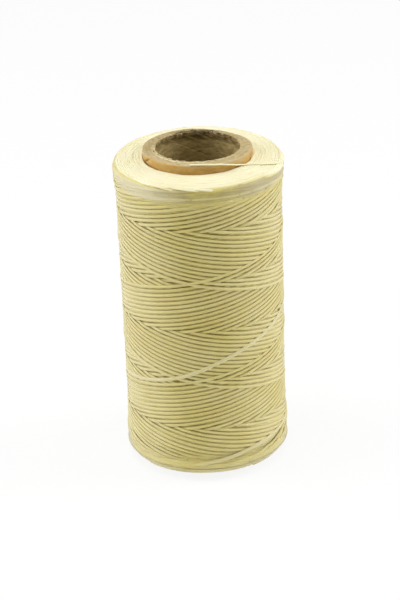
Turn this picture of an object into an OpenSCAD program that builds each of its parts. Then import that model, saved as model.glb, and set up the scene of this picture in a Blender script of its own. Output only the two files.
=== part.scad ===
// Spool of waxed thread for hand sewing leather.
// One thread is wound crosswise on a paper tube that stands upright on its end.
// Origin: middle of the tube's lower end face. +Z runs up the tube, -Y is the front.

/* [Paper tube] */
// Length of the tube, which is the height of the spool
tube_length = 110; // [80:1:160]
// Diameter of the hole through the tube
bore_d = 28; // [20:0.5:32]
// Thickness of the tube's whole wall
wall = 4; // [2.5:0.1:5]
// Thickness of the thin lining paper in the bore
liner_paper = 0.4; // [0.2:0.05:0.6]
// Thickness of the brown paper wrapped round the outside
kraft_paper = 0.4; // [0.2:0.05:0.6]
// Gap between papers, and between the tube and the thread on it
glue_line = 0.02; // [0.01:0.01:0.05]

/* [Seam of the brown paper] */
// Width of the open seam at the tube's ends
seam_w = 0.6; // [0.2:0.1:1.5]
// How far the open seam runs down from the end
seam_run = 2.4; // [1:0.1:4]
// Lean of the seam from the tube's axis, in degrees
seam_lean = 35; // [0:5:45]
// Place of the upper seam round the tube, in degrees from +X
seam_turn = 206; // [0:1:359]

/* [Thread package] */
// Length of tube left bare above and below the thread
bare_end = 3.25; // [1:0.25:10]
// Diameter over the thread halfway up
body_d = 53.8; // [50:0.2:64]
// Diameter over the thread at the top shoulder
shoulder_d = 56; // [50:0.2:66]
// Diameter over the thread at the foot
foot_d = 54.8; // [50:0.2:66]
// Height over which the shoulder and the foot swell out
swell = 10; // [4:0.5:20]
// Radius of the rounded top edge
shoulder_round = 3; // [1.5:0.1:4]
// Radius of the rounded bottom edge
foot_round = 2.2; // [1.5:0.1:4]

/* [Thread] */
// Width of the thread, pressed flat by the winding
thread_w = 1; // [0.6:0.1:1.4]
// Thickness of the flattened thread
thread_t = 0.45; // [0.3:0.05:0.6]
// Clear gap where one turn passes over another
cross_gap = 0.52; // [0.52:0.02:0.8]
// Gap between the lower turns and the package under them
lay_gap = 0.06; // [0.04:0.01:0.2]
// Diameter of the loose end, which has gone round again
tail_d = 0.7; // [0.4:0.05:1]

/* [Winding] */
// Double strokes of the outer turns, each down the package and up again
double_strokes = 4; // [2:1:4]
// Turns round the package in one double stroke
turns_per_double = 5.75; // [3.75:1:5.75]
// Turns in which the thread swings round at each end of a stroke
reverse_turns = 0.3; // [0.2:0.02:0.4]
// Place of the first upper turning point, in degrees from +X
first_turning = 64; // [0:1:359]

/* [Hidden] */
$fn = 96;
OVERCUT = 1;

// Tube: lining, board plies and brown wrap, from the bore outwards
PLY_COUNT = 5;
bore_r = bore_d / 2;
tube_r = bore_r + wall;
kraft_inner_r = tube_r - kraft_paper;
ply_t = (wall - liner_paper - kraft_paper - (PLY_COUNT + 1) * glue_line) / PLY_COUNT;
function ply_inner_r(i) = bore_r + liner_paper + glue_line + (i - 1) * (ply_t + glue_line);
// The wrap's seam is a helix, so its lower end lies further round than its upper end
seam_low_turn = seam_turn + tube_length * tan(seam_lean) / tube_r * 180 / PI;

// Outer turns: one layer that rises, and one that falls over it, each chord between
// rings staying clear of what is below it
RINGS_PER_TURN = 24;
chord = cos(180 / RINGS_PER_TURN);
lower_centre = (thread_t / 2 + lay_gap) / chord + body_d / 2 * (1 / chord - 1);
layer_step = (thread_t + cross_gap) / chord;
turns_depth = lower_centre + layer_step + thread_t / 2;

// Package: radius over the finished thread at a height, and radius of its plain core
function smooth(x) = let (t = max(0, min(1, x))) t * t * (3 - 2 * t);
pack_inner_r = tube_r + glue_line;
pack_bottom = bare_end;
pack_top = tube_length - bare_end;
foot_z = pack_bottom + foot_round;
shoulder_z = pack_top - shoulder_round;
function over_r(z) =
    (body_d
    + (shoulder_d - body_d) * smooth(1 - (shoulder_z - z) / swell)
    + (foot_d - body_d) * smooth(1 - (z - foot_z) / swell)) / 2;
function core_r(z) = over_r(z) - turns_depth;
SWELL_STEPS = 5;
ROUND_STEPS = 6;
function round_edge(middle, radius, from) =
    [for (i = [0:ROUND_STEPS])
        middle + radius * [cos(from + 90 * i / ROUND_STEPS), sin(from + 90 * i / ROUND_STEPS)]];
pack_outline = concat(
    [[pack_inner_r, pack_bottom]],
    round_edge([core_r(foot_z) - foot_round, foot_z], foot_round, 270),
    [for (i = [1:SWELL_STEPS]) let (z = foot_z + swell * i / SWELL_STEPS) [core_r(z), z]],
    [for (i = [SWELL_STEPS:-1:1]) let (z = shoulder_z - swell * i / SWELL_STEPS) [core_r(z), z]],
    round_edge([core_r(shoulder_z) - shoulder_round, shoulder_z], shoulder_round, 0),
    [[pack_inner_r, pack_top]]
);

// Path of the winding, at a number of turns counted from the first upper turning point
stroke_turns = turns_per_double / 2;
half_reverse = reverse_turns / 2;
high_z = shoulder_z - thread_w / 4;
low_z = foot_z + thread_w / 4;
lead = (high_z - low_z) / (stroke_turns - half_reverse);
LAYER_SWING = 0.18;
// Turns past the nearer upper turning point, or up to one and a half strokes past it
function past_top(u) =
    let (p = u - turns_per_double * floor(u / turns_per_double))
    p > 1.5 * stroke_turns ? p - turns_per_double : p;
// Distance in height from a turning point that is some turns away
function off_end(turns) =
    lead * (turns < half_reverse ? turns * turns / reverse_turns : turns - half_reverse / 2);
function winding_z(u) =
    let (p = past_top(u))
    p < stroke_turns / 2 ? high_z - off_end(abs(p)) : low_z + off_end(abs(stroke_turns - p));
// The last stroke rises, and comes up to the upper layer in its last step between rings
function last_lift(u) = max(0, min(1, u * RINGS_PER_TURN - last_ring + 1));
// 0 in the rising layer, 1 in the falling layer over it
function winding_layer(u) =
    let (p = past_top(u))
    max(last_lift(u), smooth(0.5 + (p < stroke_turns / 2 ? p : stroke_turns - p) / LAYER_SWING));
function winding_r(u) = core_r(winding_z(u)) + lower_centre + winding_layer(u) * layer_step;
function round_point(r, turn, z) = [r * cos(turn), r * sin(turn), z];
function winding_turn(u) = first_turning + 360 * u;
function winding_point(u) = round_point(winding_r(u), winding_turn(u), winding_z(u));

// The turns begin in a small pocket of the package, where the thread comes up from below,
// and end short of the last upper turning point, still rising, in one straight run
START_RINGS_PAST_TOP = 8;
END_RINGS_SHORT_OF_TOP = 4;
first_ring = START_RINGS_PAST_TOP;
last_ring = RINGS_PER_TURN * turns_per_double * double_strokes - END_RINGS_SHORT_OF_TOP;
start_u = (first_ring - 1) / RINGS_PER_TURN;
start_z = winding_z(start_u);
start_r = core_r(start_z);
POCKET_MARGIN = 0.3;
pocket_deep = thread_w + POCKET_MARGIN / 2;
bend_r = winding_r(start_u) - start_r + pocket_deep - thread_w;
BEND_STEPS = 4;
// The straight run up the pocket, then a quarter bend into the winding's direction
start_run = [
    round_point(start_r - pocket_deep, winding_turn(start_u), start_z),
    for (i = [0:BEND_STEPS])
        let (a = 90 * i / BEND_STEPS, turn = winding_turn(start_u))
        round_point(winding_r(start_u) - bend_r * (1 - sin(a)), turn, start_z)
            + bend_r * (1 - cos(a)) * [-sin(turn), cos(turn), 0]
];
turns_run = [for (k = [first_ring:last_ring]) winding_point(k / RINGS_PER_TURN)];
last_point = winding_point(last_ring / RINGS_PER_TURN);
last_way = unit(winding_point((last_ring + 0.05) / RINGS_PER_TURN) - last_point);
turns_end = last_point + last_way * thread_w;
turns_path = concat(start_run, turns_run, [turns_end]);

// Loose end: up from the last turn, round and back along the shoulder, across the top of
// the package, and up the tube's wall to lie on its rim
tail_route = concat([turns_end], [
    [27.5, 4.3, 100.7],
    [27.6, 5.1, 101.1],
    [27.7, 5.7, 101.9],
    [27.8, 5.8, 102.8],
    [27.8, 5.5, 103.7],
    [27.9, 4.8, 104.3],
    [28, 3.8, 104.6],
    [28.2, 2, 104.5],
    [28.3, 0.1, 104.4],
    [28.2, -1.9, 104.5],
    [27.8, -3.9, 105],
    [27.1, -5.6, 105.7],
    [26.2, -7.3, 106.4],
    [24.8, -8.7, 106.9],
    [23.1, -9.7, 107.2],
    [21.1, -10.2, 107.2],
    [19.1, -10.4, 107.2],
    [17.1, -10.6, 107.2],
    [15.2, -11.2, 107.3],
    [13.6, -12.4, 107.7],
    [12.2, -13.8, 108.3],
    [10.7, -15, 108.9],
    [9.1, -16.1, 109.4],
    [7.3, -16.9, 109.9],
    [5.5, -17.7, 110.2],
    [3.5, -18, 110.4],
    [1.4, -17.9, 110.4],
    [-0.6, -17.8, 110.4],
    [-2.6, -17.5, 110.4]
]);

function unit(v) = v / norm(v);
// Direction of a path at one of its points, halfway between the runs that meet there
function way(path, i) =
    let (back = path[max(i - 1, 0)], here = path[i], on = path[min(i + 1, len(path) - 1)])
    unit((i > 0 ? unit(here - back) : [0, 0, 0]) + (i < len(path) - 1 ? unit(on - here) : [0, 0, 0]));
// Ring of a tube with its width across the path and as upright as the path lets it be
function ring(middle, along, w, t, sides) =
    let (across = unit([0, 0, 1] - along[2] * along), out = cross(across, along))
    [for (k = [0:sides - 1]) let (a = 360 * k / sides)
        middle + across * w / 2 * cos(a) + out * t / 2 * sin(a)];
// Tube along a path, as triangles
module thread_tube(path, w, t, sides) {
    n = len(path);
    points = [for (i = [0:n - 1]) each ring(path[i], way(path, i), w, t, sides)];
    skin = [for (i = [0:n - 2], k = [0:sides - 1])
        let (a = i * sides + k, b = i * sides + (k + 1) % sides)
        each [[a, a + sides, b], [b, a + sides, b + sides]]];
    start_cap = [for (k = [1:sides - 2]) [0, k, k + 1]];
    last = (n - 1) * sides;
    end_cap = [for (k = [1:sides - 2]) [last, last + k + 1, last + k]];
    polyhedron(points = points, faces = concat(start_cap, skin, end_cap), convexity = 12);
}

// Least gap of the outer turns to themselves, and to the core under them: all passes of the
// thread at one place round the package, as [radius, height], taken in pairs
CHORD_PARTS = 4;
function on_chord(k, part) =
    let (p = winding_point(k / RINGS_PER_TURN), q = winding_point((k + 1) / RINGS_PER_TURN))
    let (m = p + (q - p) * part / CHORD_PARTS)
    [norm([m[0], m[1]]), m[2]];
function passes(k, part) =
    [for (i = [first_ring + k : RINGS_PER_TURN : last_ring - 1]) on_chord(i, part)];
function gap_between(a, b) =
    norm([max(0, abs(a[0] - b[0]) - thread_t), max(0, abs(a[1] - b[1]) - thread_w * 1.05)]);
function least_gap() =
    min([for (k = [0:RINGS_PER_TURN - 1], part = [0:CHORD_PARTS - 1])
        let (row = passes(k, part))
        for (i = [0:len(row) - 2], j = [i + 1:len(row) - 1]) gap_between(row[i], row[j])]);
function least_lay() =
    min([for (k = [0:RINGS_PER_TURN - 1], part = [0:CHORD_PARTS - 1], p = passes(k, part))
        p[0] - thread_t / 2 - core_r(p[1])]);

module paper_tube(inner_r, thickness) {
    difference() {
        cylinder(r = inner_r + thickness, h = tube_length);
        translate([0, 0, -OVERCUT]) cylinder(r = inner_r, h = tube_length + 2 * OVERCUT);
    }
}

// One open end of the wrap's seam, to be cut from the wrap
module seam_slit(turn, z) {
    rotate([0, 0, turn])
    translate([kraft_inner_r - OVERCUT, 0, z])
    rotate([seam_lean, 0, 0])
    translate([0, -seam_w / 2, -seam_run])
    cube([kraft_paper + 2 * OVERCUT, seam_w, 2 * seam_run]);
}

module core_inner_liner() {
    color([0.42, 0.35, 0.22]) paper_tube(bore_r, liner_paper);
}

module core_ply(i) {
    color([0.78 + 0.02 * (i % 2), 0.7, 0.55]) paper_tube(ply_inner_r(i), ply_t);
}

module core_kraft_wrap() {
    color([0.72, 0.54, 0.31])
    difference() {
        paper_tube(kraft_inner_r, kraft_paper);
        seam_slit(seam_turn, tube_length);
        seam_slit(seam_low_turn, 0);
    }
}

module thread_pack() {
    color([0.9, 0.86, 0.68])
    difference() {
        rotate_extrude() polygon(pack_outline);
        // Pocket where the outer turns begin
        rotate([0, 0, winding_turn(start_u)])
        translate([start_r - pocket_deep, 0, start_z])
        rotate([0, 90, 0])
        cylinder(d = thread_w + 2 * POCKET_MARGIN, h = pocket_deep + OVERCUT);
    }
}

module thread_outer_turns() {
    echo(str("Least gap of the outer turns to themselves: ", least_gap(), " mm"));
    echo(str("Least gap of the outer turns to the package: ", least_lay(), " mm"));
    color([0.97, 0.94, 0.8]) thread_tube(turns_path, thread_w, thread_t, 6);
}

module thread_tail() {
    color([0.99, 0.96, 0.84]) thread_tube(tail_route, tail_d, tail_d, 8);
}

core_inner_liner();
for (i = [1:PLY_COUNT]) core_ply(i);
core_kraft_wrap();
thread_pack();
thread_outer_turns();
thread_tail();
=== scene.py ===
# %% [markdown]
# # A spool of waxed thread
#
# The spool is one long flat thread, wound crosswise on a tube of glued paper. Nothing on it
# moves. The hard parts are two: a winding of some two hundred and eighty turns that lie over
# and under each other as real ones do, and a paper tube whose cut end shows its plies.
#
# The imported model comes first, as a fixed frame.

# %% The fixed frame
import math

import bpy
import numpy as np
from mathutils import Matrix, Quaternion, Vector


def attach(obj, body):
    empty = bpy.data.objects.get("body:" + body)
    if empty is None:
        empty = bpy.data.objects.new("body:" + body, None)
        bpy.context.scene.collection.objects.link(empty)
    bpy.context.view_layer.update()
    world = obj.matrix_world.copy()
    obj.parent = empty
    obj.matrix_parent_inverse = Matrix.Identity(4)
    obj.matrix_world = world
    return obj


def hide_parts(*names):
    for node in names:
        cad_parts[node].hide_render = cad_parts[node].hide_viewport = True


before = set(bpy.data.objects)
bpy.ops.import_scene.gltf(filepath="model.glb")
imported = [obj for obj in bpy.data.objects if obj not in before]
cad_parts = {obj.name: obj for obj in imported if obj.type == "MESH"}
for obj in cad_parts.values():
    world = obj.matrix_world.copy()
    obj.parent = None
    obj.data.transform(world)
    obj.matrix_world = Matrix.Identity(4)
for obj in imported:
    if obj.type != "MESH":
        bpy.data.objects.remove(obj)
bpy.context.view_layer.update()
MM = 0.001
print(len(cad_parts), "packed nodes")

# %% [markdown]
# Wax, wear and dirt change gradually from place to place. One helper writes all these changes,
# so that a line of code says where one starts and where it is complete.

# %% Gradual change
def fade(x, start, end):
    """0 up to start, 1 from end on, and even between. end may be smaller than start."""
    return np.clip((x - start) / (end - start), 0, 1)


print("halfway from 20 down to 10:", fade(15, 20, 10))

# %% [markdown]
# ## Camera
#
# The camera looks slightly down on the spool, so that the open end shows. It stands well away
# with a long lens, which keeps the two sides of the package nearly parallel, and it is rolled
# by two degrees. The render is 400 wide and 600 high.

# %% Camera
VIEW_CENTRE = Vector((0, 0, 55 * MM))
VIEW_DOWN = math.radians(25.254)
VIEW_ROLL = math.radians(2.16)
VIEW_AWAY = 800.6 * MM
CENTRE_RIGHT, CENTRE_UP = 3.0 / 600, 1.44 / 600


def new_object(name, data):
    """A new object in the scene."""
    made = bpy.data.objects.new(name, data)
    bpy.context.scene.collection.objects.link(made)
    return made


back = Vector((0, -math.cos(VIEW_DOWN), math.sin(VIEW_DOWN)))
camera = new_object("camera", bpy.data.cameras.new("camera"))
camera.data.sensor_width = 36
camera.data.lens = 143.7
camera.data.shift_x, camera.data.shift_y = -CENTRE_RIGHT, -CENTRE_UP
camera.rotation_mode = "QUATERNION"
camera.location = VIEW_CENTRE + back * VIEW_AWAY
level = (-back).to_track_quat("-Z", "Y")
camera.rotation_quaternion = level @ Quaternion((0, 0, 1), -VIEW_ROLL)
bpy.context.scene.camera = camera
print("camera at", [round(c, 4) for c in camera.location])

# %% [markdown]
# ## How a thread becomes a mesh
#
# A thread is a line of middle points, one direction that faces out of the package, and a
# width and a thickness. Each point gets a ring of corners, and neighbouring rings are joined
# by four-sided faces. A curve with a bevel could do this too, but it can't tilt a flat thread
# where it climbs over another, and it can't carry values for the material. Four values go
# along: how far along the thread a corner is, how far across it, its tone and its haze.

# %% Rings into a mesh
SECTION_POWER = 0.75


def unit(v):
    """The same directions, each of length 1."""
    return v / np.linalg.norm(v, axis=-1, keepdims=True)


def flat_section(sides):
    """Corners round a flattened thread, from -1 to 1 across and from -1 to 1 through it."""
    a = (np.arange(sides) + 0.5) * 2 * math.pi / sides
    c, s = np.cos(a), np.sin(a)
    return np.sign(c) * np.abs(c) ** SECTION_POWER, np.sign(s) * np.abs(s)


def thread_rings(middle, out, width, thick, tilt, sides):
    """Places of the corners of every ring, in mm, as an array of rings by sides by 3."""
    along = unit(np.gradient(middle, axis=0))
    across = unit(np.cross(along, out))
    out = np.cross(across, along)
    x, y = flat_section(sides)
    x = x[None, :, None] * (width / 2)[:, None, None]
    y = y[None, :, None] * (thick / 2)[:, None, None] + x * tilt[:, None, None]
    return middle[:, None, :] + across[:, None, :] * x + out[:, None, :] * y


def new_piece(name, material, corners, faces, values):
    """A mesh piece that rides on the one body. Its corners are in mm. values holds, by label,
    what the mesh carries at each corner."""
    mesh = bpy.data.meshes.new(name)
    mesh.materials.append(material)
    mesh.from_pydata((corners * MM).tolist(), [], faces)
    mesh.polygons.foreach_set("use_smooth", np.ones(len(faces), bool))
    for label, each in values.items():
        layer = mesh.attributes.new(label, "FLOAT", "POINT")
        layer.data.foreach_set("value", each.astype(np.float32))
    mesh.update()
    piece = new_object(name, mesh)
    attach(piece, "root")
    print(name, len(corners), "corners", len(faces), "faces")
    return piece


def thread_piece(name, runs, sides, material):
    """One mesh of several runs of thread. Each run is a dict of its middle line, its direction
    out, and how far along the thread it starts. Its width, thickness, tilt, tone and haze are
    each one number or an array, and 0 where they aren't given."""
    corners, quads, caps = [], [], []
    values = {"far": [], "tone": [], "over": [], "haze": []}
    first = 0
    for run in runs:
        middle = run["middle"]
        n = len(middle)
        width, thick, tilt, tone, haze = (
            np.broadcast_to(run.get(key, 0.0), n)
            for key in ("width", "thick", "tilt", "tone", "haze")
        )
        rings = thread_rings(middle, run["out"], width, thick, tilt, sides)
        corners.append(rings.reshape(-1, 3))
        grid = first + np.arange(n * sides).reshape(n, sides)
        on = np.roll(grid, -1, 1)
        quads.append(np.stack([grid[:-1], grid[1:], on[1:], on[:-1]], -1).reshape(-1, 4))
        caps += [grid[0].tolist(), grid[-1][::-1].tolist()]
        first += n * sides
        step = np.linalg.norm(np.diff(middle, axis=0), axis=1)
        values["far"].append(np.repeat(run["start"] + np.r_[0, np.cumsum(step)], sides))
        values["tone"].append(np.repeat(tone, sides))
        values["over"].append(np.tile(flat_section(sides)[0], n))
        values["haze"].append(np.repeat(haze, sides))
    faces = np.concatenate(quads).tolist() + caps
    values = {label: np.concatenate(each) for label, each in values.items()}
    return new_piece(name, material, np.concatenate(corners), faces, values)


# %% [markdown]
# ## Materials from nodes
#
# Every finish here is worked out from nodes, with no pictures. Small helpers add a node and
# fill its sockets, so that each material reads as a list of what it is made of. A number that
# is the same all over a surface is set on the shader's own socket.

# %% Node helpers
def fill(tree, node, sockets):
    """Gives each of these sockets of a node its value, or joins it to an output."""
    for name, value in dict(sockets).items():
        if isinstance(value, bpy.types.NodeSocket):
            tree.links.new(value, node.inputs[name])
        else:
            node.inputs[name].default_value = value


def add(tree, kind, sockets=(), **settings):
    """A new node, with its settings set and its sockets filled."""
    made = tree.nodes.new(kind)
    for name, value in settings.items():
        setattr(made, name, value)
    fill(tree, made, sockets)
    return made


def blank_material(name):
    """A material with one main shader and its output."""
    material = bpy.data.materials.new(name)
    material.use_nodes = True
    tree = material.node_tree
    return material, tree, tree.nodes["Principled BSDF"]


def ramp(tree, value, stops):
    """A colour ramp over a value, from (place, colour) stops."""
    made = add(tree, "ShaderNodeValToRGB", {"Fac": value})
    for i, (place, colour) in enumerate(stops):
        element = made.color_ramp.elements[i] if i < 2 else made.color_ramp.elements.new(place)
        element.position = place
        element.color = (*colour, 1)
    return made.outputs["Color"]


def reading(tree, label):
    """What a mesh stores at its corners under this label."""
    return add(tree, "ShaderNodeAttribute", attribute_name=label).outputs["Fac"]


def noise(tree, vector, scale, detail, rough):
    """Plain noise round 0.5."""
    sockets = {"Vector": vector, "Scale": scale, "Detail": detail, "Roughness": rough}
    return add(tree, "ShaderNodeTexNoise", sockets).outputs["Fac"]


def maths(tree, a, b, operation="ADD"):
    """Two values added, or joined by another operation."""
    return add(tree, "ShaderNodeMath", {0: a, 1: b}, operation=operation).outputs[0]


# %% [markdown]
# ## The thread's finish
#
# Waxed polyester is a bundle of fine filaments, pressed flat and held by wax. Up close it has
# hair-thin lines along its length and a dull gloss that comes and goes. The lines are noise
# that is stretched along the thread, read from the values that each mesh carries.
#
# The colour moves along a list of five colours, from a deep, dark yellow to pale straw. Painted
# shade takes it towards the dark end: along each thread's two edges, where the gaps between
# threads lie, and under the shoulder. Painted light takes it towards the pale end: above the
# shoulder's edge, at the foot's edge and a little on the sides. The tone of a corner moves it
# along that list. Haze is a greyish pale wash laid over the rest: on the package's sides and
# under the shoulder it is painted sheen, and on the last stroke it is the bloom that old wax
# gets.

# %% Thread material
FIBRES_ALONG, FIBRES_ACROSS, FIBRES_BY_TONE = 0.09, 2.6, 31.0
FIBRES_HIGH = 0.06 * MM
EDGE_SHADE = 0.23
WAX_SHINE = 0.14
TONE_PLACES = (0.0, 0.17, 0.3, 0.75, 1.0)
HAZE_AND_SHEEN = (0.73, 0.665, 0.435)


def thread_finish(name, colours, bare):
    """The colours go from the darkest, which paints shade, to bare thread, which also paints
    light. bare is how rough the bare thread is.
    """
    material, tree, shader = blank_material(name)
    far, over, tone = (reading(tree, label) for label in ("far", "over", "tone"))
    fibre_place = add(tree, "ShaderNodeCombineXYZ", {
        "X": maths(tree, far, FIBRES_ALONG, "MULTIPLY"),
        "Y": maths(tree, over, FIBRES_ACROSS, "MULTIPLY"),
        "Z": maths(tree, tone, FIBRES_BY_TONE, "MULTIPLY"),
    }).outputs[0]
    fibres = noise(tree, fibre_place, 3.2, 3.0, 0.6)
    object_place = add(tree, "ShaderNodeTexCoord").outputs["Object"]
    patches = noise(tree, object_place, 90.0, 2.0, 0.5)
    mixed = maths(tree, maths(tree, fibres, 0.5, "MULTIPLY"), maths(tree, patches, tone))
    # Painted shade: each thread is darker along its two edges, where the gaps between threads
    # lie.
    edge = maths(tree, maths(tree, over, over, "MULTIPLY"), EDGE_SHADE, "MULTIPLY")
    bareness = maths(tree, maths(tree, mixed, edge, "SUBTRACT"), 0.5, "MULTIPLY")
    waxed = ramp(tree, bareness, zip(TONE_PLACES, colours))
    hazy = add(tree, "ShaderNodeMixRGB", {0: reading(tree, "haze"), 1: waxed, 2: (*HAZE_AND_SHEEN, 1)})
    rough = add(tree, "ShaderNodeMapRange", {
        "Value": patches, "From Min": 0.3, "From Max": 0.7,
        "To Min": bare - WAX_SHINE, "To Max": bare,
    }).outputs[0]
    lines = add(tree, "ShaderNodeBump", {
        "Strength": 0.35, "Distance": FIBRES_HIGH, "Height": fibres,
    })
    fill(tree, shader, {
        "Base Color": hazy.outputs[0], "Roughness": rough, "Normal": lines.outputs[0],
        "Sheen Weight": 0.6, "Sheen Roughness": 0.4,
    })
    return material


# The darkest colour of thread_material paints the shade under the shoulder. The second finish is
# the same thread painted paler and creamier, as painted light, for the package's top, the loose
# end and the strands over the shoulder's edge.
thread_material = thread_finish("waxed_thread", [
    (0.43, 0.35, 0.13), (0.69, 0.58, 0.155), (0.72, 0.62, 0.21), (0.84, 0.765, 0.405),
    (0.95, 0.91, 0.66)], 0.62)
lit_thread_material = thread_finish("waxed_thread_painted_lit", [
    (0.80, 0.73, 0.38), (0.87, 0.80, 0.48), (0.91, 0.85, 0.55), (0.95, 0.92, 0.70),
    (0.97, 0.94, 0.76)], 0.66)
print("materials:", [m.name for m in bpy.data.materials])

# %% [markdown]
# ## The loose end
#
# The thread's end leaves the last turn at the right shoulder, bends back round it, crosses the
# top of the package, climbs the tube and lies on its rim, where it is cut. Off the package
# the thread isn't pressed as flat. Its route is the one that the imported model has, a little
# lower where it lies on the winding, and a smooth line is drawn through those points.

# %% Route of the loose end
TAIL_ROUTE = [
    (27.324, 2.892, 100.414), (27.5, 4.3, 100.7), (27.6, 5.1, 101.1), (27.7, 5.7, 101.9),
    (27.75, 5.8, 102.8), (27.7, 5.5, 103.7), (27.65, 4.8, 104.15), (27.72, 3.8, 104.35),
    (27.86, 2, 104.35), (27.92, 0.1, 104.3), (27.85, -1.9, 104.45), (27.5, -3.9, 104.93),
    (26.9, -5.6, 105.39), (26.1, -7.3, 105.85), (24.8, -8.7, 106.22), (23.1, -9.7, 106.53),
    (21.1, -10.2, 106.71), (19.1, -10.4, 106.84), (17.1, -10.6, 106.99), (15.2, -11.2, 107.2),
    (13.6, -12.4, 107.7), (12.2, -13.8, 108.3), (10.7, -15, 108.9), (9.1, -16.1, 109.4),
    (7.3, -16.9, 109.9), (5.5, -17.7, 110.2), (3.5, -18, 110.4), (1.4, -17.9, 110.4),
    (-0.6, -17.8, 110.4), (-2.6, -17.5, 110.4),
]
TAIL_D = 0.7
PARTS_PER_GAP = 5


def smooth_through(points, parts):
    """A Catmull-Rom line through the points, each gap cut into parts."""
    p = np.asarray(points, float)
    p = np.vstack([2 * p[0] - p[1], p, 2 * p[-1] - p[-2]])
    t = (np.arange(parts) / parts)[:, None]
    line = []
    for a, b, c, d in zip(p, p[1:], p[2:], p[3:]):
        bend = (2 * a - 5 * b + 4 * c - d) * t**2 + (3 * b - a - 3 * c + d) * t**3
        line.append((2 * b + (c - a) * t + bend) / 2)
    return np.vstack([*line, p[-2]])


tail_line = smooth_through(TAIL_ROUTE, PARTS_PER_GAP)

# %% Loose end
def round_run(line, diameter):
    """A run of thread that starts round and gets flatter, and whose wax gets thicker towards
    its end. Its size swells and shrinks a bit. Its first third faces away from the axis, and
    the rest faces up."""
    n = len(line)
    ring = np.arange(n)
    swell = 1 + 0.05 * np.sin(ring * 1.7) * np.sin(ring * 0.43)
    up = np.tile([0.05, -0.1, 1.0], (n, 1))
    up[: n // 3] = unit(line[: n // 3] * [1, 1, 0]) + [0, 0, 0.2]
    size = diameter * swell
    pressed = 1 - 0.35 * fade(ring / n, 0.3, 0.5)
    tone = -0.14 * fade(ring / n, 0.45, 0.6)
    return {"middle": line, "out": unit(up), "width": size, "thick": size * pressed,
            "tone": tone, "start": 0.0}


# The loose end takes the thread finish painted paler, as light from above.
thread_end = thread_piece("thread_end", [round_run(tail_line, TAIL_D)], 10, lit_thread_material)
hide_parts("thread_tail")

# %% [markdown]
# ## The package's outline
#
# The winding is a little slimmer in its middle than at its two ends, because the thread slows
# down where it turns back and piles up there. The outline gives the radius over the finished
# thread at a height. The shoulder's and the foot's part of it are also kept by themselves,
# from the inside out.

# %% Outline
OUTLINE = [
    (2.85, 24.5), (3.0, 25.3), (3.5, 25.95), (4.3, 26.45), (5.5, 26.9), (8, 27.15),
    (10, 27.2), (12, 27.15), (15, 27.02), (20, 26.88), (30, 26.8), (40, 26.88), (50, 26.98),
    (60, 27.05), (70, 27.1), (80, 27.15), (90, 27.2), (95, 27.3), (97, 27.42), (99, 27.6),
    (100, 27.73), (102, 27.93), (103.75, 28.0), (104.6, 27.88), (105.4, 27.45), (105.9, 26.9),
    (106.3, 26.0), (106.55, 24.5), (106.8, 22.0), (107.15, 18.4),
]
PACK_LOW, PACK_HIGH = OUTLINE[0][0], OUTLINE[-1][0]
SHOULDER_LOW, FOOT_HIGH = 103, 6
SHOULDER = np.array([p for p in OUTLINE[::-1] if p[0] > SHOULDER_LOW])
FOOT = np.array([p for p in OUTLINE if p[0] < FOOT_HIGH])
TUBE_R = 18.0


def outline_r(z):
    """Radius over the finished thread at a height."""
    return np.interp(z, *np.array(OUTLINE).T)


print("package from", PACK_LOW, "to", PACK_HIGH, "mm, widest", 2 * max(r for z, r in OUTLINE))

# %% [markdown]
# ## Where the thread runs
#
# A winding machine turns the tube while a guide moves up and down. The thread so makes one
# long zigzag, about three turns down and three turns up. Each double stroke is a little less
# than six turns, so it starts fifteen degrees earlier round than the one before, and its
# turns lie beside the older ones. Twenty-three double strokes cover the package once. At each
# end of a stroke the guide turns back, and for a fifth of a turn on either side of that
# place the thread bends round and runs nearly level.
#
# A place along the thread is counted in columns, 720 of them to a turn.

# %% Zigzag
COLUMNS = 720
DOUBLE_STROKES = 47
TURNS_PER_DOUBLE = 5.9573
TURN_BACK = 0.195
LAST_TOP_COLUMN = 522
HIGH_Z, LOW_Z = 104.9, 5.75
zigzag_rng = np.random.default_rng(7)

last_top = LAST_TOP_COLUMN + COLUMNS * math.ceil(TURNS_PER_DOUBLE * DOUBLE_STROKES)
turning_count = 2 * DOUBLE_STROKES + 1
strokes_left = np.arange(turning_count) - turning_count + 2
turning = last_top + strokes_left * TURNS_PER_DOUBLE / 2 * COLUMNS
turning = turning + zigzag_rng.normal(0, 0.9, turning_count)
turning_z = np.where(np.arange(turning_count) % 2, HIGH_Z, LOW_Z)
turning_z = turning_z + zigzag_rng.normal(0, 0.12, turning_count)


def stroke_z(columns, a, b, za, zb):
    """Height at columns between one turning place and the next."""
    turns = (b - a) / COLUMNS
    lead = (zb - za) / (turns - TURN_BACK)
    p = np.clip((columns - a) / COLUMNS, 0, turns)

    def gone(x):
        """How far the guide has gone, x turns after it turned back, as it picks up speed."""
        return np.where(x < TURN_BACK, x * x / (2 * TURN_BACK), x - TURN_BACK / 2)

    return np.where(p < turns / 2, za + lead * gone(p), zb - lead * gone(turns - p))


strokes = []
for a, b, za, zb in zip(turning, turning[1:], turning_z, turning_z[1:]):
    columns = np.arange(math.ceil(a), math.ceil(b))
    strokes.append((columns, stroke_z(columns, a, b, za, zb)))
print(len(strokes), "strokes,", round(len(strokes) * TURNS_PER_DOUBLE / 2), "turns")

# %% [markdown]
# The last stroke was led by hand, so it keeps to no pattern. It starts at the foot's front and
# climbs round the back to the left side. Then it crosses the whole front upwards, goes
# steeply up at the back, and runs just under the shoulder to the right side, where the loose
# end leaves it.

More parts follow.
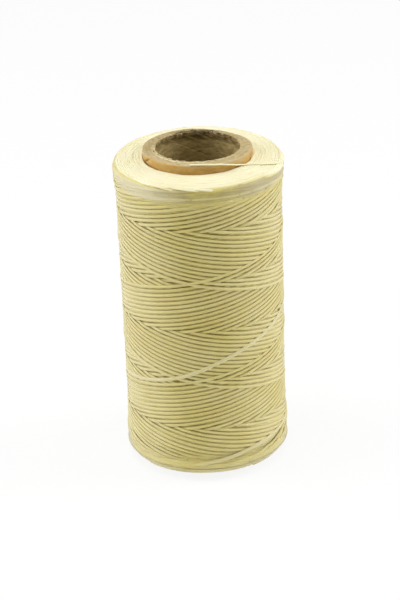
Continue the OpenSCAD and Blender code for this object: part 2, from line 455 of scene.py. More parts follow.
# %% Closing stroke
CLOSING = [
    (253.35, 5.75), (260, 6.1), (268, 6.8), (280, 7.9), (292, 9.0), (306, 10.5), (326, 11.6),
    (341, 12.2), (555, 32.9), (574, 34.1), (590, 35.7), (604, 37.5), (616, 39.4), (628, 41.8),
    (641, 44.6), (651, 46.3), (663, 48.4), (676, 50.2), (690, 52.3), (702, 54.1), (714, 55.6),
    (900, 96.5), (920, 99.6), (945, 101.6), (990, 102.6), (1035, 102.4), (1065, 101.4),
    (1086.2, 100.43),
]
CLOSING_REACH = 26


def softened(values, reach):
    """Running average, with the ends kept where they are."""
    ends = np.concatenate([
        2 * values[0] - values[reach:0:-1], values, 2 * values[-1] - values[-2 : -reach - 2 : -1],
    ])
    weight = np.hanning(2 * reach + 3)[1:-1]
    return np.convolve(ends, weight / weight.sum(), "valid")


closing_start = math.ceil(turning[-1])
closing_degrees = np.arange(CLOSING[0][0], CLOSING[-1][0], 360 / COLUMNS)
closing_z = softened(np.interp(closing_degrees, *np.array(CLOSING).T), CLOSING_REACH)
strokes.append((closing_start + np.arange(len(closing_degrees)), closing_z))
print("closing stroke:", len(closing_degrees) / COLUMNS, "turns")

# %% [markdown]
# ## Laying the thread
#
# What makes a winding look wound is which turn lies on which. So the thread is really laid, in
# the order of time, on a map of the package: 720 columns round it by one row per tenth of a
# millimetre of height. The map holds how high the winding stands at each place so far. The
# left and the right half of the thread each rest on the highest thing under them, which tilts
# the thread where it climbs over the edge of another. A thread under tension doesn't follow
# every dip: it takes the shortest way over what is under it, like a string pulled over a row
# of pegs. On a round package that is the upper hull of the bed, less the curve of the
# package itself. Every stroke then raises the map by its own thickness.

# %% Laying
CELL = 0.1
MAP_LOW = 3.0
MAP_ROWS = 1030
THREAD_W, THREAD_T = 1.04, 0.66
PRESSED_IN = 0.12
PACK_R = 27.0
COLUMN_MM = 2 * math.pi * PACK_R / COLUMNS
HALF_CELLS = 5
AHEAD = 30
MOST_RISE = 0.06
TILT_REACH, BASE_REACH, LINE_REACH = 8, 6, 3

pile = np.zeros((COLUMNS, MAP_ROWS))
across_cells = np.arange(-HALF_CELLS, HALF_CELLS + 1)
edge_fall = 0.4 * np.abs(across_cells / HALF_CELLS) ** 2.4
LANES = slice(0, HALF_CELLS), slice(2, -2), slice(HALF_CELLS + 1, None)


def pulled_tight(bed):
    """Height of a tight thread over its bed, which is an array of heights along the thread."""
    s = np.arange(len(bed)) * COLUMN_MM
    fall = s * s / (2 * PACK_R)
    held = (bed - fall).tolist()
    kept = []
    for i, here in enumerate(held):
        while len(kept) > 1:
            j, k = kept[-1], kept[-2]
            if (held[j] - held[k]) * (i - k) > (here - held[k]) * (j - k):
                break
            kept.pop()
        kept.append(i)
    line = np.interp(np.arange(len(bed)), kept, [held[i] for i in kept]) + fall
    return softened(line, LINE_REACH)


def lay(columns, z, own, behind):
    """Lays one stroke, which is own columns long and is followed by a look ahead.

    behind holds the last heights of the stroke before it, for each of the three lanes. Gives
    the mid height over the bare core, the tilt, and the last heights of this stroke."""
    round_place = columns % COLUMNS
    rows = np.round((z - MAP_LOW) / CELL).astype(int)[:, None] + across_cells
    rows = np.clip(rows, 0, MAP_ROWS - 1)
    under = pile[round_place[:, None], rows]
    lanes = []
    for cells, old in zip(LANES, behind):
        line = pulled_tight(np.r_[old, under[:, cells].max(1)])
        lanes.append(line[len(old) : len(old) + own])
    left, middle, right = lanes
    rise = np.clip(softened(right - left, TILT_REACH), -MOST_RISE, MOST_RISE)
    base = softened(np.maximum(middle, (left + right) / 2), BASE_REACH) - PRESSED_IN
    base = np.maximum(base, 0)
    top = base[:, None] + rise[:, None] * (across_cells / (2 * HALF_CELLS))
    top = top + THREAD_T * (1 - edge_fall)
    mine = round_place[:own, None], rows[:own]
    pile[mine] = np.maximum(pile[mine], top)
    return base + THREAD_T / 2, rise / (0.5 * THREAD_W), [line[-AHEAD:] for line in lanes]


laid = []
behind = [np.empty(0)] * 3
for i, (columns, z) in enumerate(strokes):
    after = strokes[i + 1] if i + 1 < len(strokes) else (columns[:0], z[:0])
    height, tilt, behind = lay(
        np.r_[columns, after[0][:AHEAD]], np.r_[z, after[1][:AHEAD]], len(columns), behind
    )
    laid.append((columns, z, height, tilt))
print("winding stands", round(float(pile.max()), 2), "mm at most over its core")

# %% [markdown]
# The map says how thick the winding is at each height. The core under it is made thinner by
# just that much, so that the finished thread meets the outline everywhere.

# %% Core under the winding
WOUND_PERCENT, WOUND_REACH = 85, 14
map_z = MAP_LOW + CELL * np.arange(MAP_ROWS)
wound = softened(np.percentile(pile, WOUND_PERCENT, axis=0), WOUND_REACH)


def core_r(z):
    """Radius of the bare core at a height."""
    return outline_r(z) - np.interp(z, map_z, wound)


for z in (8, 30, 55, 80, 99, 103):
    print("at", z, "mm the winding is", round(float(np.interp(z, map_z, wound)), 2), "mm thick")

# %% [markdown]
# The tone isn't even over the package. Under the shoulder it is painted darker, as shade: dark at
# the front, darker at the right, and with a pale haze of painted sheen at the left. Above the
# shoulder's edge it is painted paler, as light on the top, and at the foot's edge it is painted
# paler against the shadow there. Over the sides lies a haze of painted sheen.

# %% Wax on the package
def from_front(angle):
    """How many degrees an angle is away from the front."""
    return np.abs((np.degrees(angle) - 90) % 360 - 180)


def painted_side_light(angle):
    """How strongly a place is painted paler and hazier, as sheen and light on the package's sides
    and in the gaps there. It is 0 at the front, 1 at the left side and less at the right one."""
    most = np.where(np.cos(angle) > 0, 0.45, 1.0)
    away = from_front(angle)
    return np.minimum(fade(away, 8, 78), most) * fade(away, 155, 115)


def painted_light_at(z, angle):
    """Tone and haze at a height and an angle. Under the shoulder, up to an edge that is lower at
    the right side, the tone is painted darker as shade; above that edge and at the foot's edge it
    is painted paler as light."""
    degrees = np.degrees(angle) % 360
    beside = (degrees - 270) % 360
    edge = 105.2 - 2 * fade(np.abs(beside - 80), 32, 0)
    thick = fade(z, 100, 102) * fade(z, edge, edge - 0.2)
    front = fade(np.abs(degrees - 270), 42, 14)
    right = fade(beside, 10, 40) * fade(beside, 115, 90)
    left = fade(degrees, 175, 205) * fade(degrees, 264, 234)
    lit_paler = 1.2 * fade(z, edge, edge + 0.4) + 0.55 * fade(z, 5.3, 4.8)
    held = painted_side_light(angle) * fade(z, 99, 96)
    # Painted shade under the shoulder, painted light above its edge and at the foot, and painted
    # sheen over the sides.
    tone = lit_paler + 0.08 * held - (0.26 + 0.3 * front + 0.6 * right) * thick
    return tone, (0.8 * left + 0.3 * right) * thick + 0.45 * held


print("haze at the left side, at mid height:", round(float(painted_light_at(55, math.pi)[1]), 2))

# %% [markdown]
# Each laid stroke becomes one run of rings. The older half of the turns shows only through
# gaps, so its rings have fewer sides and stand further apart.

# %% Winding
COLUMNS_PER_RING = 6
UNDER_COLUMNS_PER_RING = 9
PROUD = 0.2
LAST_RINGS, LAST_BARE, LAST_BROADER = 6, 0.28, 0.3
THREAD_PER_STROKE = 515.0
wobble_rng = np.random.default_rng(11)


def round_the_axis(angle, r, z):
    """Points at these angles, radii and heights, and the direction outwards at each."""
    out = np.stack([np.cos(angle), np.sin(angle), np.zeros(len(angle))], -1)
    middle = out * r[:, None]
    middle[:, 2] = z
    return middle, out


def slow_noise(count, reach, size):
    """Smooth random wandering."""
    return softened(wobble_rng.normal(0, 1, count), reach) * math.sqrt(reach) * size


def winding_run(columns, z, height, tilt, every, start, tone, last):
    """One laid stroke as a run of rings. The last one of all was led by hand, so it lies
    broader and its wax is cracked pale."""
    keep = np.unique(np.r_[0 : len(columns) : every, len(columns) - 1])
    n = len(keep)
    z = z[keep]
    angle = np.radians(columns[keep] * 360 / COLUMNS)
    proud = PROUD * fade(z, 103, 98) * fade(z, 5.5, 8.5)
    sunk = 0.1 + 2 * fade(z, 102.5, 99.5)
    flush = outline_r(z) - THREAD_T / 2
    r = np.clip(core_r(z) + height[keep], flush - sunk, flush + proud)
    middle, out = round_the_axis(angle, r, z)
    out[:, 2] = (outline_r(z - 0.4) - outline_r(z + 0.4)) / 0.8
    painted_tone, haze = painted_light_at(z, angle)
    led = last * fade(np.arange(n), 0, LAST_RINGS)
    return {
        "middle": middle, "out": unit(out), "tilt": -tilt[keep], "start": start,
        "tone": tone + painted_tone + LAST_BARE * led, "haze": np.minimum(haze + LAST_BARE * led, 0.85),
        "width": THREAD_W * (1 + slow_noise(n, 14, 0.025) + LAST_BROADER * led),
        "thick": THREAD_T * (1 + slow_noise(n, 12, 0.03)),
    }


def winding_piece(name, chosen, every, sides):
    """A piece of the winding: the laid strokes with these numbers. Each goes on to the first
    place of the one after it, so that they join end to end."""
    runs = []
    for i in chosen:
        stroke = laid[i]
        last = i + 1 == len(laid)
        if not last:
            stroke = [np.r_[mine, after[:1]] for mine, after in zip(stroke, laid[i + 1])]
        tone = wobble_rng.normal(0, 0.05)
        runs.append(winding_run(*stroke, every, i * THREAD_PER_STROKE, tone, last))
    return thread_piece(name, runs, sides, thread_material)


half = DOUBLE_STROKES
three_quarters = half + half // 2
winding_piece("winding_under", range(half), UNDER_COLUMNS_PER_RING, 6)
winding_piece("winding_outer_1", range(half, three_quarters), COLUMNS_PER_RING, 8)
outermost = winding_piece(
    "winding_outer_2", range(three_quarters, len(laid)), COLUMNS_PER_RING, 8
)
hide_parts("thread_outer_turns")

# %% [markdown]
# ## Core, and the two ends of the package
#
# Under the laid strokes lies a plain turned body, which closes the gaps between the turns. The
# package's ends are made of what all the hidden layers show there: each double stroke turns
# back at its own radius, and only the crest of that bend shows. The bends are laid as short
# arcs, each a little further round and a little further out than the last, as the machine
# does. Their crests follow the outline, over the rounded shoulder as well. A bend is one
# level width of thread at its crest and drops away on both sides of it.

# %% Core of the package
LEAST_Z = 0.01


def angles_round(sides):
    """One angle for each side of a body, evenly round the circle."""
    return np.arange(sides) * 2 * math.pi / sides


def turned(name, rows, material, sides, twist=0.0):
    """A closed body round the axis. Each row is a radius and a height in mm, and a tone, and
    each of these is a number or an array with a value for each side. The sides lean round
    the axis by twist degrees for each mm of height."""
    r, z, tone = (
        np.stack([np.broadcast_to(np.asarray(row[k], float), sides) for row in rows])
        for k in range(3)
    )
    z = np.maximum(z, LEAST_Z)
    a = angles_round(sides) + math.radians(twist) * z
    corners = np.stack([r * np.cos(a), r * np.sin(a), z], -1).reshape(-1, 3)
    here = np.arange(len(rows) * sides).reshape(len(rows), sides)
    on = np.roll(here, -1, 1)
    faces = np.stack([here, on, np.roll(on, -1, 0), np.roll(here, -1, 0)], -1).reshape(-1, 4)
    return new_piece(name, material, corners, faces.tolist(), {"tone": tone.ravel()})


CORE_SIDES = 256
CORE_LOW, CORE_HIGH, CORE_INNER_R = 3.7, 105.65, TUBE_R + 0.03
SUNK = 1.55
CORE_SHADE = -0.28

# The core shows only in the gaps between turns, so it is painted darker, as shade there. At the
# sides it is painted paler, as light that falls into the gaps, and it is paler towards the
# bottom.
core_angle = angles_round(CORE_SIDES)
at_sides = fade(from_front(core_angle), 45, 85) + 0.8 * painted_side_light(core_angle)
core_rows = [(CORE_INNER_R, CORE_LOW, 0), (25.2, CORE_LOW, 0)]
for z in np.linspace(4.6, 104.6, 90):
    low = fade(z, 90, 30)
    r = core_r(z) + SUNK + 0.14 * at_sides + 0.12 * low
    core_rows.append((r, z, CORE_SHADE + 0.5 * at_sides + 0.35 * low))
core_rows += [(26.4, CORE_HIGH - 0.3, 0), (25.0, CORE_HIGH, 0)]
core_rows.append((CORE_INNER_R, CORE_HIGH + 0.4, 0))
pack_core = turned("pack_core", core_rows, thread_material, CORE_SIDES)
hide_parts("thread_pack")
print("core radius at mid height:", round(float(core_r(55.0)), 2))

# %% Arcs at the ends
BEND_PITCH = 0.025
BEND_REACH = 52
LEAD = 35.5
END_W = 1.05
CREST_STEP = 16.7
LAST_TOP_R, LAST_FOOT_R = 27.3, 26.2


def outline_end_z(r, top):
    """Height of the outline at a radius, at the top or the bottom end."""
    side = SHOULDER if top else FOOT
    return np.interp(r, side[:, 1], side[:, 0])


def end_arcs(name, top, seed, step_degrees):
    """The crests of all the bends that show at one end."""
    random = np.random.default_rng(seed)
    runs = []
    first_r = TUBE_R + 0.35
    count = int(((LAST_TOP_R if top else LAST_FOOT_R) - first_r) / BEND_PITCH)
    up = 1 if top else -1
    for i in range(count):
        r = first_r + i * BEND_PITCH + random.normal(0, 0.05)
        crest = i * CREST_STEP + random.normal(0, 5)
        reach = BEND_REACH * random.uniform(0.85, 1.15)
        degrees = np.arange(-reach, reach + step_degrees, step_degrees)
        turns = np.abs(degrees) / 360
        drop = LEAD * turns**2 / (2 * TURN_BACK) + random.normal(0, 0.05)
        drift = random.normal(0, 0.35) * degrees / 60
        z = outline_end_z(r, top) - up * (drop + END_W / 2)
        angle = np.radians(crest + degrees)
        inward = fade(z, 104.7, 104.1) if top else fade(z, 5, 5.6)
        held = outline_r(z) - THREAD_T / 2 - 0.6 * inward
        middle, out = round_the_axis(angle, np.minimum(r - THREAD_T / 2 + drift, held), z)
        runs.append({
            "middle": middle, "out": out, "width": END_W, "thick": THREAD_T * 1.1,
            "tilt": random.normal(0, 0.08), "start": i * 40.0,
            "tone": random.normal(0.02 if top else 0.2, 0.06),
        })
    # The top's arcs take the thread finish painted paler, as light on the top.
    return thread_piece(name, runs, 6, lit_thread_material if top else thread_material)


end_arcs("pack_top", True, 21, 5)
end_arcs("pack_bottom", False, 22, 7)

# %% [markdown]
# ## Shoulder and foot
#
# Where the machine turns back, many layers of nearly level thread lie over each other. Short
# level arcs at random depths stand in for them. They are spread by 137.5 degrees from one to the
# next, an angle that never repeats itself, so no pattern shows. On top, four strands slant over
# the shoulder's edge at the front, painted paler as light. Beside them lie thin dark strands:
# painted shadow in the grooves.

# %% Hidden turns under the shoulder and the foot
BAND_PITCH = 0.055
BAND_REACH = 55
BAND_STEP = 137.5
BAND_LOW, BAND_HIGH = 3.35, 106.0


def band_arcs(name, low, high, seed, deep):
    """Level arcs that fill the gaps where the thread turns back and piles up. deep gives how
    far they lie under the outline at a height."""
    random = np.random.default_rng(seed)
    runs = []
    degrees = np.arange(-BAND_REACH, BAND_REACH + 1, 5)
    for i, height in enumerate(np.arange(low, high, BAND_PITCH)):
        angle = np.radians(i * BAND_STEP + degrees)
        z = height + random.normal(0, 0.25) * degrees / BAND_REACH
        r = outline_r(np.clip(z, BAND_LOW, BAND_HIGH)) - deep(z) - random.uniform(0, 0.4)
        middle, out = round_the_axis(angle, r, z)
        painted_tone, haze = painted_light_at(z, angle)
        runs.append({
            "middle": middle, "out": out, "width": THREAD_W, "thick": 0.6, "start": i * 55.0,
            "tone": random.normal(-0.03, 0.05) + painted_tone, "haze": haze,
        })
    return thread_piece(name, runs, 6, thread_material)


band_arcs("band_top", 98.8, 105.8, 37, lambda z: 0.35 + 0.4 * fade(z, 101.5, 99.5))
band_arcs("band_bottom", 3.2, 12.0, 32, lambda z: -0.06 + 1.4 * fade(z, 5.1, 8.0))

# %% Strands over the shoulder's edge
EDGE_Z = 105.4
STRAND_RINGS = 24
shoulder_far = np.r_[0, np.cumsum(np.hypot(*np.diff(SHOULDER, axis=0).T))]


def over_shoulder(name, strands, beside, width, tone, material):
    """Strands that slant over the shoulder's edge. Each has its first and last angle, and how
    far inside and outside the shoulder's edge it starts and ends. Both ends dive under."""
    edge = np.interp(-EDGE_Z, -SHOULDER[:, 0], shoulder_far)
    t = np.linspace(0, 1, STRAND_RINGS)
    inside = fade(np.minimum(t, 1 - t), 0, 0.25)
    deep = 0.12 + 0.6 * (1 - inside) ** 1.5
    runs = []
    for i, (first, last, start, end) in enumerate(strands):
        angle = np.radians(first + (last - first) * t)
        far = edge + start + (end - start) * t + beside
        z, r = (np.interp(far, shoulder_far, SHOULDER[:, k]) for k in (0, 1))
        lean = np.interp(far, shoulder_far, np.gradient(SHOULDER[:, 0], shoulder_far))
        middle, out = round_the_axis(angle, r, z)
        facing = out * np.maximum(-lean, 0.15)[:, None]
        facing[:, 2] = np.sqrt(1 - np.clip(lean, -0.98, 0) ** 2)
        runs.append({
            "middle": middle - unit(facing) * deep[:, None], "out": unit(facing),
            "width": width * (0.3 + 0.7 * inside), "thick": 0.4, "start": i * 30.0,
            "tone": tone * inside,
        })
    return thread_piece(name, runs, 8, material)


SLANTING = [
    (218, 240, -1.3, -0.3), (227, 256, -1.4, 0.1), (243, 276, -1.4, 0.25), (262, 283, -1.2, 0.5),
]
over_shoulder("over_shoulder", SLANTING, 0.0, 0.9, 0.2, lit_thread_material)
# These thin dark strands are painted shadow in the grooves beside the pale ones.
over_shoulder("over_shoulder_shadow", SLANTING, 0.5, 0.34, -0.5, thread_material)

# %% [markdown]
# ## The paper tube
#
# The tube is wound of seven papers: a dark lining, five plies of grey board and a brown kraft
# wrap. They are glued in a spiral and cut off with a round knife, which leaves the cut end
# rough: the plies stand a little higher and lower, and the lining frays into the bore. On the
# far side the knife has bitten pieces out of the inner plies, and the outer ones are pressed
# down. Each paper is a closed ring of its own, whose end follows a random line round the
# circle. Random waves that fit a whole number of times round the circle meet themselves, so
# no seam shows.

# %% Random lines round the circle
FINE_SIDES = 720
paper_rng = np.random.default_rng(41)


def round_noise(slowest, fastest, size, sides=FINE_SIDES):
    """Wandering round a circle, made of waves that fit slowest to fastest times round it."""
    k = np.arange(slowest, fastest + 1)[:, None]
    waves = np.cos(k * angles_round(sides) + paper_rng.uniform(0, 2 * math.pi, k.shape))
    wave = (waves * paper_rng.normal(0, 1, k.shape) / k**0.5).sum(0)
    return size * wave / wave.std()


def bump_round(centre, half_width, sides=FINE_SIDES):
    """1 at an angle, falling to 0 at half_width degrees from it."""
    away = np.abs((np.arange(sides) * 360 / sides - centre + 180) % 360 - 180)
    near = fade(away, half_width, 0)
    return near**2 * (3 - 2 * near)


print("a random line:", round_noise(1, 3, 0.1, 8).round(2))

# %% Paper finishes
GLUE_BROWN = (0.055, 0.035, 0.01)
GRAIN_HIGH = 0.07 * MM


def paper_finish(name, dark, light, torn, blotch, rough):
    """Paper with blotches of this many per metre, and fibres that run round the tube.

    A tone of -0.4 shows the dark glue between papers, and one of 0.5 shows torn fibres."""
    material, tree, shader = blank_material(name)
    place = add(tree, "ShaderNodeTexCoord").outputs["Object"]
    flat = add(tree, "ShaderNodeMapping", {"Vector": place, "Scale": (1, 1, 2.6)}).outputs[0]
    blotches = noise(tree, flat, blotch, 3.0, 0.62)
    fibres = noise(tree, flat, 2600.0, 3.0, 0.7)
    mixed = maths(tree, blotches, maths(tree, fibres, 0.4, "MULTIPLY"))
    plain = add(tree, "ShaderNodeMapRange", {
        "Value": mixed, "From Min": 0.45, "From Max": 0.95, "To Min": 0.25, "To Max": 0.75,
    }).outputs[0]
    shade = maths(tree, plain, reading(tree, "tone"))
    stops = [(0.0, GLUE_BROWN), (0.25, dark), (0.72, light), (1.0, torn)]
    both = maths(tree, blotches, fibres)
    grain = add(tree, "ShaderNodeBump", {"Strength": 0.4, "Distance": GRAIN_HIGH, "Height": both})
    fill(tree, shader, {
        "Base Color": ramp(tree, shade, stops), "Normal": grain.outputs[0],
        "Roughness": rough, "Specular IOR Level": 0.3,
    })
    return material


bore_paper = paper_finish(
    "bore_paper", (0.22, 0.155, 0.048), (0.52, 0.395, 0.165), (0.78, 0.7, 0.48), 420.0, 0.85
)
grey_board = paper_finish(
    "grey_board", (0.38, 0.295, 0.14), (0.60, 0.485, 0.265), (0.83, 0.74, 0.52), 700.0, 0.9
)
kraft_paper = paper_finish(
    "kraft_paper", (0.42, 0.235, 0.052), (0.66, 0.415, 0.13), (0.56, 0.46, 0.26), 300.0, 0.7
)
torn_paper = paper_finish(
    "torn_paper", (0.26, 0.18, 0.08), (0.62, 0.52, 0.32), (0.84, 0.78, 0.6), 900.0, 0.9
)

# %% Plies of board
TUBE_LENGTH = 110.0
BORE_R, LINER_T, GLUE, PLY_T, WRAP_T = 14.0, 0.4, 0.02, 0.616, 0.4
END_ROWS = ((0.0, 0.04), (0.1, 0.01), (0.35, 0.0), (0.65, 0.0), (0.9, 0.01), (1.0, 0.04))
DARKEST_TEAR_SHADE = 0.25
CUT_DROP = 0.32
# For each ply, from the inside: its tone, and how torn, how chipped and how bitten it is.
PLIES = (
    (0.04, 1.0, 0, 1.5), (-0.03, 0.45, 0, 1.3), (0.02, 0.1, 0.3, 1.0), (-0.02, 0, 0.5, 0),
    (0.03, 0, 0, 0),
)


def ring_end(inner, outer, end, up, rough, tone, chipped, bitten):
    """Rows over one cut end, from the inner wall to the outer one. chipped is how much paper
    has come off its inner edge, and bitten is how much has come off its whole end."""
    rows = []
    for share, dip in END_ROWS:
        height = end - up * dip + up * round_noise(20, 240, rough)
        # Paper that stands higher is painted lighter and paper that dips is painted darker, as
        # light and shade.
        tint = tone + 1.5 * (height - end) * up
        chip = chipped * (1 - share) ** 1.5 + bitten
        # Chipped and bitten paper is painted darker, towards the glue's brown: partly the glue,
        # partly painted shade in the torn recess.
        tint = tint - np.minimum(0.45 * chip, DARKEST_TEAR_SHADE)
        rows.append((inner + (outer - inner) * share, height - up * chip, tint))
    return rows


def cut_z(angle):
    """Height of the upper cut, which is a little lower at the far side."""
    return TUBE_LENGTH - CUT_DROP * (1 + np.sin(angle))


def crushed(r):
    """How far the rim is pressed down at a radius. It is most at the far right side and at the
    outer plies."""
    most = 0.3 * bump_round(92, 115) + 0.9 * bump_round(48, 58)
    return most * fade(r, 15.6, TUBE_R) ** 1.3


torn_edge = np.clip(round_noise(8, 70, 0.8) + 0.1, 0, 1.5)
torn_edge = torn_edge * (0.1 + 0.9 * bump_round(97, 95))
near_lip = bump_round(235, 125)
bites = np.clip(round_noise(12, 70, 0.35) + 1.1, 0.6, 1.6)
bites = bites * fade(bump_round(91, 36), 0, 0.4)
ply_cut = cut_z(angles_round(FINE_SIDES))
# Painted shade and light: the rim is painted darker at the far side and the far left, and lighter
# at the front left, as the light comes from the front.
rim_shade = 0.08 * bump_round(240, 60) - 0.17 * bump_round(90, 85) - 0.12 * bump_round(165, 45)
for i, (ply_tone, tear, chip, bite) in enumerate(PLIES):
    inner = BORE_R + LINER_T + GLUE + i * (PLY_T + GLUE)
    outer = inner + PLY_T
    tone = ply_tone + rim_shade + 0.25 * near_lip * (i == 0)
    uneven = round_noise(2, 25, 0.035) - 0.05
    end = ply_cut + uneven - crushed((inner + outer) / 2)
    chipped = torn_edge * tear + bites * chip
    top = ring_end(inner, outer, end, 1, 0.03, tone, chipped, bites * bite)
    foot = ring_end(inner, outer, -uneven, -1, 0.015, tone, 0, 0)
    rows = [*foot, *top[::-1]]
    ply = turned(f"tube_ply_{i + 1}", rows, grey_board, FINE_SIDES)
    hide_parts(f"core_ply_{i + 1}")

# %% [markdown]
# The kraft wrap is the outermost paper. Its two ends overlap along a seam, it has a small nick
# and a fold at the left, it is worn pale along the rim, and it is painted dark as shadow where
# the winding touches it. The nick is painted darker too, as shade in its dent.

# %% Kraft wrap
WRAP_R = BORE_R + LINER_T + GLUE + len(PLIES) * (PLY_T + GLUE)
SEAM_AT, LAP_AT = 206.0, 70.6
NICK_AT, NICK_Z = 204.5, 108.75
FOLD_AT, FOLD_Z = 208.5, 108.1
CONTACT_SHADOW_Z = 107.3
WRAP_HEIGHTS = (
    0.0, 0.12, 0.6, 1.4, 2.4, 3.4, 5.0, 55.0, 105.0, 106.2, 106.5, 106.8, 107.1, 107.5, 107.9,
    108.2, 108.5, 108.8, 109.1, 109.4, 109.7, 109.88, 110.0,
)
END_ROUND = {0.0: 0.12, 0.12: 0.03, 109.88: 0.04, 110.0: 0.16}

wrap_degrees = np.arange(FINE_SIDES) * 360 / FINE_SIDES
lapped = 1 - ((wrap_degrees > LAP_AT) & (wrap_degrees < SEAM_AT)).astype(float)
uneven = round_noise(2, 18, 0.03) - 0.03
nick = np.minimum(1.6 * bump_round(NICK_AT, 9.0), 1)
nick_z = NICK_Z + 0.15 * (wrap_degrees - NICK_AT)
fold = bump_round(FOLD_AT, 8.0)
contact_shade = 0.14 + 0.72 * bump_round(205, 27)
at_front = bump_round(262, 62)
worn_from = 108.2 + 0.7 * at_front
worn_to = worn_from + 1.7 - 0.6 * at_front
faded = 0.12 * bump_round(270, 75) - 0.04
proud_end = 0.1 * bump_round(LAP_AT, 60) * (1 - lapped)
slope = ply_cut - TUBE_LENGTH + proud_end - crushed(TUBE_R)
wrap_rows = []
for height in WRAP_HEIGHTS:
    r = WRAP_R + WRAP_T - 0.1 * (1 - lapped) - 0.15 * bump_round(0, 70)
    r = r + round_noise(3, 40, 0.012)
    nicked = nick * fade(np.abs(height - nick_z), 0.45, 0)
    folded = fold * fade(abs(height - FOLD_Z), 0.5, 0)
    r = r - 0.34 * nicked + 0.16 * folded - END_ROUND.get(height, 0.0)
    z = height - uneven if height < 55 else height + uneven + slope * (height > 105)
    worn = 0.4 * fade(height, worn_from, worn_to)
    worn = worn + 0.1 * (1 - at_front) * (height > CONTACT_SHADOW_Z)
    worn = worn * (1 - 0.6 * bump_round(228, 34) * (height > 109))
    # Painted shadow along the line where the winding touches the wrap, and painted shade in the
    # nick.
    contact_shadow = contact_shade * fade(abs(height - CONTACT_SHADOW_Z), 0.45, 0)
    wrap_rows.append((r, z, worn + faded - 0.6 * nicked + 0.05 * folded - contact_shadow))
wrap_end = TUBE_LENGTH + uneven + slope
wrap_rows += [(WRAP_R + 0.04, wrap_end, 0.4), (WRAP_R, wrap_end - 0.1, 0)]
wrap_rows.append((WRAP_R, 0.1 - uneven, 0))
wrap = turned("tube_wrap", wrap_rows, kraft_paper, FINE_SIDES)
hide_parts("core_kraft_wrap")

# %% [markdown]
# The lining was wound as a spiral strip, so its seam climbs slantwise up the bore as a shallow
# groove, painted a little darker as shade. Its near edge has rolled inwards and shows as a pale,
# uneven lip. Its far edge is torn and dark. The bore's left and right walls are painted paler, as
# light that falls on them.

# %% Lining of the bore
BORE_SIDES = 400
SPIRAL = 7.9
OUTER_WALL_TOP = 106

end_turn = SPIRAL * TUBE_LENGTH
far_side = 0.15 + 0.85 * bump_round(92 - end_turn, 105, BORE_SIDES)
near_side = bump_round(235 - end_turn, 125, BORE_SIDES)
torn = np.clip(round_noise(5, 60, 0.7, BORE_SIDES), 0, 1.8) * far_side
torn = torn + np.abs(round_noise(30, 120, 0.045, BORE_SIDES))
bore_end = np.roll(cut_z(angles_round(BORE_SIDES)), -round(end_turn / 360 * BORE_SIDES))
side = np.arange(BORE_SIDES)
groove = np.exp(-((np.minimum(side, BORE_SIDES - side) / 1.5) ** 2))
rolled_in = near_side * np.clip(0.5 + round_noise(15, 90, 0.13, BORE_SIDES), 0.1, 0.9)
bore_heights = np.r_[
    0, 0.2, 0.6, np.linspace(1.5, 106.5, 96), 107.5, 108.3, 108.9, 109.4, 109.8, 110
]
lining_rows = []
for height in bore_heights:
    r = BORE_R + 0.1 * groove + round_noise(2, 30, 0.02, BORE_SIDES)
    z = np.minimum(height, bore_end - 0.03 - torn * (0.6 + 0.4 * (height >= 110)))
    dark = far_side * fade(height, 107, 109)
    rolled = rolled_in * fade(height, 109.2, 110) ** 2
    # Painted light on the bore's left and right walls, and painted shade in the seam's groove.
    lit_sides = 0.12 * np.abs(np.cos(angles_round(BORE_SIDES) + math.radians(SPIRAL * height)))
    lining_rows.append((r - rolled, z, lit_sides + 0.7 * rolled - 0.1 * groove - 0.12 * dark))
for share, sunk, lift in ((0.5, 0.8, 0.0), (1.0, 0.5, -0.03)):
    edge_r = BORE_R + LINER_T * share - rolled_in * (1 - share)
    lining_rows.append((edge_r, bore_end - torn * sunk + lift, 0.4 - 0.7 * far_side))
for height in bore_heights[bore_heights < OUTER_WALL_TOP][::-1]:
    lining_rows.append((BORE_R + LINER_T, np.maximum(height, 0.1), 0))
lining = turned("tube_lining", lining_rows, bore_paper, BORE_SIDES, SPIRAL)
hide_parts("core_inner_liner")

# %% [markdown]
# Loose fibres hang from the torn edge. Each is a thin strip that gets narrower and droops into
# the bore, most of them on the far side. A few slivers of brown paper hang among them.

# %% Torn fibres
FIBRES, FAR_SHARE, HANGING_SHARE = 260, 0.62, 0.8
FIBRE_RINGS, SLIVER_RINGS = 6, 5

t = np.linspace(0, 1, FIBRE_RINGS)
fibre_runs = []
for i in range(FIBRES):
    far = paper_rng.random() < FAR_SHARE
    angle = math.radians(paper_rng.normal(92, 36) if far else paper_rng.uniform(0, 360))
    length = paper_rng.uniform(0.4, 1.0) * (1.9 if far else 0.9)
    hangs = paper_rng.random() < HANGING_SHARE
    drop = paper_rng.uniform(0.25, 1.0) if hangs else paper_rng.uniform(-0.25, 0.1)
    lean = paper_rng.normal(0, 0.45)
    r = BORE_R + 0.3 - length * (0.42 * t + 0.12 * np.sin(t * 3))
    turn = angle + lean * length * t / BORE_R
    line = round_the_axis(turn, r, cut_z(angle) - 0.05 - length * drop * t**1.6)[0]
    up = np.tile([0.3 * math.cos(angle), 0.3 * math.sin(angle), 1.0], (FIBRE_RINGS, 1))
    broad = 1.8 if i % 8 == 0 else 1.0
    width = broad * paper_rng.uniform(0.12, 0.42) * (1 - 0.85 * t)
    # Fibres in the middle of the far side are painted darker, as shade in the bitten recess
    # there.
    fibre_runs.append({
        "middle": line, "out": unit(up), "width": width, "thick": 0.05, "start": i,
        "tilt": paper_rng.normal(0, 0.4),
        "tone": paper_rng.uniform(-0.35, 0.3) - 0.4 * (abs(math.degrees(angle) - 91) < 19),
    })
thread_piece("torn_fibres", fibre_runs, 4, torn_paper)

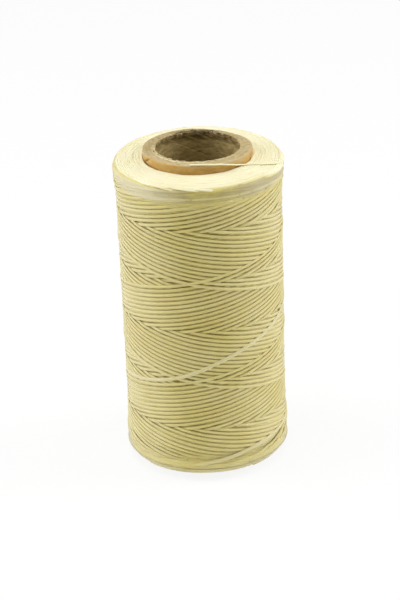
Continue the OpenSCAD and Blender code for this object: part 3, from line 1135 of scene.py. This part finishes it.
# %% Slivers of brown paper
t = np.linspace(0, 1, SLIVER_RINGS)
brown_runs = []
for centre, count in ((38, 16), (119, 6), (22, 6)):
    for i in range(count):
        angle = math.radians(centre + paper_rng.normal(0, 3.5))
        r = BORE_R + 0.1 - 0.5 * t * paper_rng.random()
        turn = angle + paper_rng.normal(0, 0.05) * t
        top = cut_z(angle) - paper_rng.uniform(0.1, 0.7)
        line = round_the_axis(turn, r, top - paper_rng.uniform(0.3, 0.9) * t)[0]
        facing = np.tile([-math.cos(angle), -math.sin(angle), 0.5], (SLIVER_RINGS, 1))
        brown_runs.append({
            "middle": line, "out": facing, "width": paper_rng.uniform(0.3, 0.7) * (1 - 0.8 * t),
            "thick": 0.06, "start": i, "tone": paper_rng.uniform(-0.3, 0),
        })
thread_piece("brown_fibres", brown_runs, 4, kraft_paper)

# %% [markdown]
# ## Floor, light and background
#
# The floor is pale and keeps the spool's soft shadow. What the camera sees of the background
# is plain white, through Light Path, so no extra light falls on the object for it. Three big
# soft lamps light the spool: one above and a little in front, and one high up on each side.
# They keep its sides bright and its front a little darker, and the world adds a weak even
# light.

# %% Floor
def pale_floor():
    """A pale floor that the camera sees as nearly white, with the shadow on it."""
    material, tree, shader = blank_material("pale_floor")
    pale = (0.95, 0.95, 0.95, 1)
    fill(tree, shader, {"Base Color": pale, "Roughness": 0.9, "Specular IOR Level": 0.1})
    glow = add(tree, "ShaderNodeEmission", {"Color": (1, 1, 1, 1), "Strength": 1.0})
    seen = add(tree, "ShaderNodeLightPath").outputs["Is Camera Ray"]
    share = maths(tree, seen, 0.88, "MULTIPLY")
    both = add(tree, "ShaderNodeMixShader", {0: share, 1: shader.outputs[0], 2: glow.outputs[0]})
    fill(tree, tree.nodes["Material Output"], {"Surface": both.outputs[0]})
    return material


FLOOR_HALF = 3.0
floor_mesh = bpy.data.meshes.new("floor")
floor_mesh.from_pydata(
    [(x * FLOOR_HALF, y * FLOOR_HALF, 0) for x, y in ((-1, -1), (1, -1), (1, 1), (-1, 1))],
    [], [(0, 1, 2, 3)],
)
floor_mesh.materials.append(pale_floor())
floor = new_object("floor", floor_mesh)

# %% World
world = bpy.data.worlds.new("white_room")
bpy.context.scene.world = world
world.use_nodes = True
room = world.node_tree
room.nodes.clear()
path = add(room, "ShaderNodeLightPath")
seen = maths(room, path.outputs["Is Camera Ray"], path.outputs["Is Glossy Ray"], "MAXIMUM")
seen = maths(room, seen, path.outputs["Is Transmission Ray"], "MAXIMUM")
soft = add(room, "ShaderNodeBackground", {"Color": (1, 1, 1, 1), "Strength": 0.2})
white = add(room, "ShaderNodeBackground", {"Color": (1, 1, 1, 1), "Strength": 1.0})
either = add(room, "ShaderNodeMixShader", {0: seen, 1: soft.outputs[0], 2: white.outputs[0]})
add(room, "ShaderNodeOutputWorld", {"Surface": either.outputs[0]})


# %% Lamps
def soft_lamp(name, place, size, power):
    """A square lamp that faces the spool."""
    lamp = new_object(name, bpy.data.lights.new(name, "AREA"))
    lamp.data.shape = "SQUARE"
    lamp.data.size = size
    lamp.data.energy = power
    lamp.location = place
    aim = VIEW_CENTRE - Vector(place)
    lamp.rotation_mode = "QUATERNION"
    lamp.rotation_quaternion = aim.to_track_quat("-Z", "Y")
    print(name, power, "W")


soft_lamp("top_lamp", (-0.05, -0.1, 1.0), 0.6, 4.6)
soft_lamp("left_lamp", (-0.85, 0.05, 0.5), 0.6, 5.2)
soft_lamp("right_lamp", (0.85, 0.05, 0.5), 0.6, 5.6)

# %% [markdown]
# ## Settings
#
# Colours go out as they are written.

# %% Finish
bpy.context.scene.view_settings.view_transform = "Standard"
